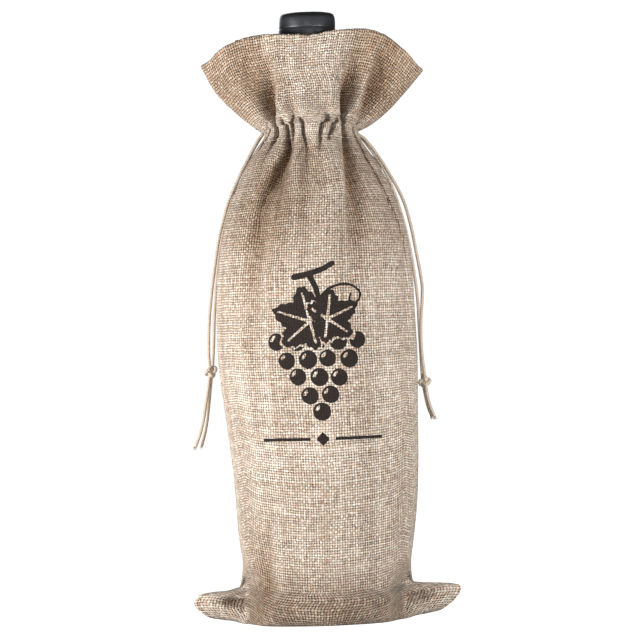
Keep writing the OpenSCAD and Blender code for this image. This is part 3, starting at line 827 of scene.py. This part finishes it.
GRAPE_ROWS = 5
GRAPE_R = 4.55
GRAPE_GAP = 10.6
GRAPE_ROW = 9.1
BUNCH_TOP = 147.0
LEAVES = [((-3.5, 157.5), 72, 21.0), ((5.5, 158.5), -66, 17.5)]
STALK = [(0, 150), (0.6, 158), (1.4, 166), (0.2, 174), (-3.4, 181.5)]
CANE = [(-11, 180.4), (-4, 181.8), (3, 184), (9, 187)]
TENDRIL = [(1, 168), (6, 173.5), (13, 176), (20, 175), (23.6, 170.6), (21, 166.6), (17.4, 168), (18.2, 171)]
RULE_Z = 97.0
RULE_HALF = 33.0
BARE = -9.0                    # far from any ink
PRINT_HALF, PRINT_LOW, PRINT_TOP = 40, 85, 195      # the part of the front that is looked at for ink


def ink_line(x, y, points, half_width, ends=1.0):
    """A stroke through points; it narrows to the share called ends at its last point."""
    path = smooth_path([(a, b, 0) for a, b in points], 0.8)[:, :2]
    widths = half_width * np.linspace(1, ends, len(path))
    away = np.sqrt((x[:, None] - path[:, 0]) ** 2 + (y[:, None] - path[:, 1]) ** 2)
    return (widths - away).max(axis=1)


def ink_leaf(x, y, base, turn_deg, size):
    """A vine leaf with five toothed lobes, and its veins left bare."""
    dx, dy = x - base[0], y - base[1]
    away = np.hypot(dx, dy)
    turn = (np.degrees(np.arctan2(dx, dy)) + turn_deg + 180) % 360 - 180
    lobes = [(0, 1.0), (30, 0.62), (58, 0.9), (92, 0.55), (122, 0.72), (165, 0.34), (180, 0.08)]
    edge = np.interp(np.abs(turn), [a for a, _ in lobes], [r for _, r in lobes]) * size
    teeth = np.abs((np.abs(turn) / 13.0) % 1 - 0.5) * 2 - 0.5
    edge = edge + teeth * size * 0.07
    leaf = (edge - away) * 0.75
    veins = np.full(len(x), BARE)
    for lobe, length in ((0, 0.86), (58, 0.74), (-58, 0.74), (122, 0.56), (-122, 0.56)):
        off = np.radians(turn - lobe)
        along = away * np.cos(off)
        aside = np.abs(away * np.sin(off))
        width = 0.75 * (1 - 0.45 * along / size)
        vein = np.where((along > 0) & (along < length * size), width - aside, BARE)
        veins = np.maximum(veins, vein)
    return np.minimum(leaf, -veins), leaf


def ink_amount(x, y):
    ink = np.full(len(x), BARE)
    for row in range(GRAPE_ROWS):
        for k in range(GRAPE_ROWS - row):
            shift = math.sin(row * 5.3 + k * 2.9)
            gx = (k - (GRAPE_ROWS - 1 - row) / 2) * GRAPE_GAP + 0.3 * shift
            gy = BUNCH_TOP - row * GRAPE_ROW + 0.4 * math.cos(row * 3.1 + k * 4.7)
            away = np.hypot(x - gx, y - gy)
            shine = 0.75 - np.abs(away - 2.7)
            shine = np.where((x < gx - 0.8) & (y > gy + 0.2), shine, BARE)
            ink = np.maximum(ink, np.minimum(GRAPE_R + 0.2 * shift - away, -shine))
    for base, turn, size in LEAVES:
        inked, leaf = ink_leaf(x, y, base, turn, size)
        ink = np.maximum(np.minimum(ink, -leaf - 0.9), inked)
    ink = np.maximum(ink, ink_line(x, y, STALK, 1.25, 1.2))
    ink = np.maximum(ink, ink_line(x, y, CANE, 1.7, 0.8))
    ink = np.maximum(ink, ink_line(x, y, TENDRIL, 0.75, 0.8))
    rule = np.minimum(0.8 - np.abs(y - RULE_Z), np.minimum(RULE_HALF - np.abs(x), np.abs(x) - 6.5))
    diamond = (3.6 - np.abs(x) - np.abs(y - RULE_Z)) * 0.7
    return np.maximum(ink, np.maximum(rule, diamond))


def print_on(obj, points, uv):
    """The print, as a value at each point of the front."""
    x, y = uv[:, 0] * WARP_PITCH - CLOTH_WIDTH / 2, points[:, 2]
    near = (np.abs(x) < PRINT_HALF) & (y > PRINT_LOW) & (y < PRINT_TOP)
    ink = np.full(len(x), BARE)
    ink[near] = ink_amount(x[near], y[near])
    point_values(obj, "ink", ink)


# ---------------------------------------------------------------- cords

LEFT_FRONT = [
    (-25, -1.05, 257.6), (-27.2, -1.2, 255), (-29.9, -1.4, 250.6), (-33.8, -1.8, 243.7),
    (-37.5, -2.2, 236.8), (-40.5, -2.5, 230.7), (-44.8, -3, 221), (-47.4, -3.4, 212.6),
    (-49.9, -3.7, 203.6), (-51.8, -3.8, 194), (-53.8, -3.8, 182), (-55.4, -3.6, 171),
    (-56.6, -3.2, 161), (-57.4, -2.6, 149), (-57.6, -1.8, 140), (-57.4, -1, 133),
    (-58.2, -1.2, 126), (-59.8, -1.8, 117), (-61.2, -2.4, 109), (-63.2, -2.8, 101), (-66.2, -3, 93.2),
]
LEFT_BACK = [
    (-25, 1.05, 257.6), (-27.1, 1.3, 254.8), (-30, 1.8, 250.2), (-34.1, 3, 243),
    (-38.1, 4.4, 236), (-40.8, 5.6, 230), (-44.3, 7.2, 220.6), (-46.7, 8.2, 212),
    (-49, 8.6, 203), (-51.1, 8.6, 193), (-52.5, 8.2, 182), (-53.5, 7.4, 171),
    (-54.4, 6.4, 161), (-55, 4.8, 149), (-55.6, 2.8, 140), (-56.2, 1, 133), (-57.2, 0.7, 126),
    (-58.3, 0.5, 117), (-59.4, 0.4, 109), (-60.9, 0.3, 101), (-63, 0.2, 93.6),
]
RIGHT_FRONT = [
    (25, -1.05, 255.2), (27.6, -1.3, 253.6), (30.6, -1.5, 250.2), (34.6, -1.8, 244.6),
    (38.4, -2.2, 238.4), (42, -2.6, 231.8), (45.2, -3, 225.6), (47.9, -3.4, 219.2),
    (51.2, -3.7, 206.5), (53.4, -3.7, 193.6), (55.4, -3.6, 181), (56.2, -3.6, 174),
    (55.8, -4.4, 166), (54.8, -5.6, 155), (54.6, -5.4, 145), (55, -4, 136), (55.8, -2, 129),
    (56.2, -1, 124), (57, -1, 117), (58.6, -1.4, 110), (60.4, -2, 105),
]
RIGHT_BACK = [
    (25, 1.05, 255.2), (27.6, 1.4, 252.9), (30.1, 2, 249.5), (33.9, 3.2, 244.1),
    (38.4, 4.6, 236.5), (41.1, 5.8, 230.6), (43.9, 7, 223), (46.7, 8, 213.6), (49.2, 8.5, 203),
    (51.2, 8.5, 192), (52.9, 8.1, 179), (54, 7.4, 166), (54.2, 6.6, 155),
    (54.4, 5.4, 145), (54.6, 4, 136), (54.8, 2.4, 129), (55, 1.2, 124), (56, 0.9, 117),
    (57.4, 0.7, 110), (59, 0.4, 105.6),
]
KNOTS = {"left": (-56.8, 0.0, 132.5), "right": (56.0, 0.1, 124.0)}
KNOT_SIZE = 2.75
KNOT_CORD_R = 1.12             # the knot's turns are drawn thicker, since they press on each other
RUN_Z = {"left": 257.6, "right": 255.2}
RUN_X = 18.2                   # the cords inside the casing, beside the neck
FRAY_PLIES = 26


def smooth_path(points, step):
    """A smooth line through points, as points about step apart."""
    points = np.array(points, float)
    chord = run_along(points)
    count = int(chord[-1] / step) + 1
    return curve(np.column_stack([chord, points]), np.linspace(0, chord[-1], count + 1))


def frames_along(path):
    """Two directions across the path at each of its points, which turn as little as they can."""
    way = np.gradient(path, axis=0)
    way /= np.linalg.norm(way, axis=1, keepdims=True)
    side = np.cross(way[0], [0, 1, 0] if abs(way[0][1]) < 0.9 else [1, 0, 0])
    sides = []
    for w in way:
        side = side - w * np.dot(side, w)
        side /= np.linalg.norm(side)
        sides.append(side)
    sides = np.array(sides)
    return sides, np.cross(way, sides)


def rings_round(path, radii, sides):
    """A ring of points round each point of path."""
    across, up = frames_along(path)
    turn = np.linspace(0, 2 * math.pi, sides, endpoint=False)[None, :, None]
    out = np.cos(turn) * across[:, None] + np.sin(turn) * up[:, None]
    return path[:, None] + radii[:, None, None] * out


def end_faces(rows, sides):
    return [tuple(range(sides))[::-1], tuple((rows - 1) * sides + k for k in range(sides))]


def make_tube(name, path, radius, mat, sides=14, pitch=2.2, closed=False):
    """A round cord along path; its map runs once round it, and once for each pitch along it."""
    rings = rings_round(path, np.full(len(path), radius), sides)
    points = rings.reshape(-1, 3)
    rows = len(path)
    if closed:
        points = np.concatenate([points, rings[0]])
        rows += 1
    faces = grid_faces(rows, sides, closed=True)
    length = run_along(path)
    length = np.append(length, length[-1]) if closed else length
    uv = np.stack([np.tile(np.arange(sides) / sides, rows), np.repeat(length / pitch, sides)], 1)
    if not closed:
        faces += end_faces(rows, sides)
    return make_object(name, points, faces, mat, uv)


def merged(name, parts, mat):
    """One object from (points, faces) pairs."""
    points, faces, start = [], [], 0
    for part_points, part_faces in parts:
        points.extend(part_points)
        faces.extend(tuple(start + k for k in face) for face in part_faces)
        start += len(part_points)
    uv = np.array(points)[:, [0, 2]]
    return make_object(name, points, faces, mat, uv)


def spike(start, way, length, radius, bend):
    """A thin fibre that narrows to its end, as points and faces."""
    start, way, bend = np.array(start), np.array(way), np.array(bend)
    side = np.cross(way, [0.3, 0.9, 0.1])
    side /= np.linalg.norm(side)
    up = np.cross(way, side)
    points, steps, corners = [], 4, 5
    for i in range(steps + 1):
        t = i / steps
        middle = start + way * length * t + bend * t * t
        r = radius * (1 - 0.75 * t)
        for k in range(corners):
            a = 2 * math.pi * k / corners
            points.append(middle + r * (math.cos(a) * side + math.sin(a) * up))
    faces = grid_faces(steps + 1, corners, closed=True)
    faces += end_faces(steps + 1, corners)
    return points, faces


def make_fray(name, path, mat, seed):
    """The loose plies at a cut end."""
    rng = np.random.default_rng(seed)
    way = path[-1] - path[-4]
    way /= np.linalg.norm(way)
    parts = []
    for _ in range(FRAY_PLIES):
        off = rng.normal(size=3) * 0.33
        off -= way * np.dot(off, way)
        spread = rng.normal(size=3) * 0.28
        aim = way + spread
        aim /= np.linalg.norm(aim)
        start = path[-1] - way * 0.5 + off
        length, radius = rng.uniform(1.0, 2.6), rng.uniform(0.1, 0.17)
        parts.append(spike(start, aim, length, radius, rng.normal(size=3) * 0.4))
    return merged(name, parts, mat)


def knot_path(centre, size, tilt, turn):
    """An overhand knot pulled tight: a trefoil, wider across than along the cord."""
    t = np.linspace(0, 2 * math.pi, 120, endpoint=False)
    x = (np.sin(t) + 2 * np.sin(2 * t)) / 3
    z = (np.cos(t) - 2 * np.cos(2 * t)) / 3
    y = -np.sin(3 * t) * 0.52
    points = np.stack([x * 1.06, y, z * 0.86], 1) * size
    a, b = math.radians(tilt), math.radians(turn)
    spin = np.array([[math.cos(a), 0, math.sin(a)], [0, 1, 0], [-math.sin(a), 0, math.cos(a)]])
    twist = np.array([[math.cos(b), -math.sin(b), 0], [math.sin(b), math.cos(b), 0], [0, 0, 1]])
    return points @ spin.T @ twist.T + np.array(centre)


def make_cords(mat):
    strands = {"left_front": LEFT_FRONT, "left_back": LEFT_BACK, "right_front": RIGHT_FRONT,
               "right_back": RIGHT_BACK}
    for side, tilt, turn in (("left", -28, 20), ("right", -66, -30)):
        body = side + "_cord"
        turns = knot_path(KNOTS[side], KNOT_SIZE, tilt, turn)
        knot = make_tube(side + "_knot_turns", turns, KNOT_CORD_R, mat, closed=True)
        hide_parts(side + "_knot")
        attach(knot, body)
        for half, seed in (("front", 3), ("back", 5)):
            name = side + "_" + half
            path = smooth_path(strands[name], 0.9)
            strand = make_tube(name + "_cord", path, CORD_R, mat)
            fray = make_fray(name + "_fray", path, mat, seed + len(side))
            for piece in (strand, fray):
                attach(piece, body)
            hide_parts(name + "_strand")
        run = make_run(side, mat)
        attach(run, "bag")
        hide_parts(side + "_cord_run")


def make_run(side, mat):
    """The part of a cord inside the casing, with its two ends side by side at the way out."""
    sign = -1 if side == "left" else 1
    t = np.radians(np.arange(-160, 161, 8))
    ring = np.stack([-sign * RUN_X * np.cos(t), CORD_RUN_Y * np.sin(t), np.full(len(t), RUN_Z[side])], 1)
    ends = [(sign * 24.6, 1.05, RUN_Z[side]), (sign * 21.5, 1.6, RUN_Z[side])]
    points = [(x, -y, z) for x, y, z in ends] + ring.tolist() + ends[::-1]
    return make_tube(side + "_cord_in_casing", smooth_path(points, 1.2), CORD_R, mat)


# ---------------------------------------------------------------- capsule

# Radius, then height, up the capsule and in over its top
CAPSULE = [
    (14.8, 262), (14.8, 299), (15.05, 301), (15.3, 303.5), (15.4, 306), (15.34, 308), (15.2, 310),
    (15.05, 311.2), (14.8, 311.9), (14.92, 312.5), (14.88, 314.1), (14.78, 316), (14.55, 317.6),
    (14.05, 318.8), (13.2, 319.5), (12.3, 319.8), (9, 319.75), (4, 319.7), (0.6, 319.7),
]
SEAM_TURN = 5.15               # radians round from the right to the seam
FLAT_TOP_R = 6                 # nearer the axis than this, the top is flat


def make_capsule(mat):
    """The sleeve shrunk over the neck, with its creases and the lap of its seam."""
    turn = np.linspace(0, 2 * math.pi, 120, endpoint=False)
    heights = np.array(CAPSULE)
    steps = np.linspace(0, len(CAPSULE) - 1, 90)
    profile = curve(np.column_stack([np.arange(len(CAPSULE)), heights]), steps)
    points = []
    for r, z in profile:
        top = smooth((z - 317.5) / 2)
        creases = 0.10 * np.sin(3 * turn + z * 0.5) - 0.16 * top * np.sin(7 * turn)
        seam = np.exp(-((turn - SEAM_TURN) / 0.02) ** 2) * 0.22 * (z < 318)
        ring = r + (creases + seam) * (r > FLAT_TOP_R)
        lift = 0.22 * np.sin(2 * turn + 0.6) * smooth((z - 310) / 4) * (z < 319.5)
        points.append(np.stack([ring * np.cos(turn), ring * np.sin(turn), z + lift], 1))
    points = np.minimum(np.concatenate(points), [[99, 99, 320]])
    faces = grid_faces(len(profile), len(turn), closed=True)
    faces.append(tuple((len(profile) - 1) * len(turn) + k for k in range(len(turn))))
    sleeve = make_object("capsule_sleeve", points, faces, mat, points[:, [0, 2]])
    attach(sleeve, "bottle")
    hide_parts("capsule_skirt", "capsule_disc")


def paint_nodes(**materials):
    """Gives CAD nodes that show as they are their materials."""
    for node, mat in materials.items():
        obj = bpy.data.objects[node]
        obj.data.materials.clear()
        obj.data.materials.append(mat)


# ---------------------------------------------------------------- stitches

STITCH_SPACING = 3.7
STITCH_LENGTH = 2.5
STITCH_START = 14.0            # how far the first stitch starts from the left side seam, along the cloth
STITCH_END = 16.0              # how far from the right side seam the last one starts, or further


def make_stitches(name, rows, index, mat, facing):
    """A row of stitches that lie on the cloth along one of its rows."""
    line = rows[index]
    normal = cloth_normals(rows[index - 1:index + 2])[1] * -facing
    run = run_along(line)
    parts = []
    for start in np.arange(STITCH_START, run[-1] - STITCH_END, STITCH_SPACING):
        place = start + np.linspace(0, STITCH_LENGTH, 6)
        points = np.stack([np.interp(place, run, line[:, k]) for k in range(3)], 1)
        out = np.stack([np.interp(place, run, normal[:, k]) for k in range(3)], 1)
        rise = 0.22 * np.sin(np.linspace(0, math.pi, 6)) - 0.05
        parts.append(small_tube(points + out * rise[:, None], 0.26))
    obj = merged(name, parts, mat)
    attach(obj, "bag")
    return obj


def small_tube(path, radius, sides=6):
    """A stitch, thinner at its two ends, as points and faces."""
    radii = np.sin(np.linspace(0.25, math.pi - 0.25, len(path))) ** 0.5 * radius
    faces = grid_faces(len(path), sides, closed=True) + end_faces(len(path), sides)
    return rings_round(path, radii, sides).reshape(-1, 3).tolist(), faces


make_camera()
make_stage()
make_cords(cord_material())
make_capsule(capsule_material())
paint_nodes(bottle_glass=glass_material(), wine=wine_material(), cork=cork_material())

plain_cloth = burlap("burlap_cloth")
printed_cloth = burlap("printed_burlap", printed=True)
NODES = {
    "front": {"body": ["front_panel", "base_fold", "left_bottom_corner", "right_bottom_corner",
                       "left_side_seam", "right_side_seam"],
              "casing": ["front_casing"],
              "header": ["front_header", "front_facing"]},
    "back": {"body": ["back_panel"], "casing": ["back_casing"], "header": ["back_header", "back_facing"]},
}
PIECE_OF = {"base": "body", "body": "body", "casing": "casing", "header": "header", "facing": "header"}


def point_values(obj, name, values):
    layer = obj.data.attributes.new(name, "FLOAT", "POINT")
    layer.data.foreach_set("value", np.asarray(values, np.float32).ravel())


def make_cloth(tag, facing):
    """One half of the bag, as its three pieces of cloth; returns all its rows of points."""
    folds = (FRONT_FOLDS, HEADER_FOLDS) if facing < 0 else back_folds()
    rows, parts = cloth_half(facing, *folds)
    plain, _ = cloth_half(facing, [], [])
    painted_shade, painted_warm_shade = painted_shade_of(rows, plain)
    uv = cloth_uv(rows)
    for piece in ("body", "casing", "header"):
        picked = [i for i, part in enumerate(parts) if PIECE_OF[part] == piece]
        picked = list(range(picked[0], min(picked[-1] + 2, len(rows))))
        part_rows, part_uv = rows[picked], uv[picked]
        printed = tag == "front" and piece == "body"
        obj = make_object(tag + "_" + piece + "_cloth", part_rows.reshape(-1, 3),
                          grid_faces(len(picked), rows.shape[1], flip=facing > 0),
                          printed_cloth if printed else plain_cloth, part_uv.reshape(-1, 2))
        if printed:
            print_on(obj, part_rows.reshape(-1, 3), part_uv.reshape(-1, 2))
        # the painted shade and the painted warm shade, as values at each point
        point_values(obj, "painted_shade", painted_shade[picked])
        point_values(obj, "painted_warm_shade", painted_warm_shade[picked])
        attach(obj, "bag")
        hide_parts(*NODES[tag][piece])
    return rows


def row_at(rows, height):
    """The row of cloth whose middle is nearest to a height."""
    outer = rows[:len(BASE_STEPS) + len(BODY_STEPS) + len(HEADER_STEPS), COLUMNS // 2, 2]
    return int(np.argmin(np.abs(outer[len(BASE_STEPS):] - height))) + len(BASE_STEPS)


thread = thread_material()
for tag, facing in (("front", -1), ("back", 1)):
    rows = make_cloth(tag, facing)
    lower = make_stitches(tag + "_lower_stitches", rows, row_at(rows, LOWER_STITCH_Z), thread, facing)
    upper = make_stitches(tag + "_upper_stitches", rows, row_at(rows, UPPER_STITCH_Z), thread, facing)
    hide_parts("lower_stitch_row")
    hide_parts("upper_stitch_row")
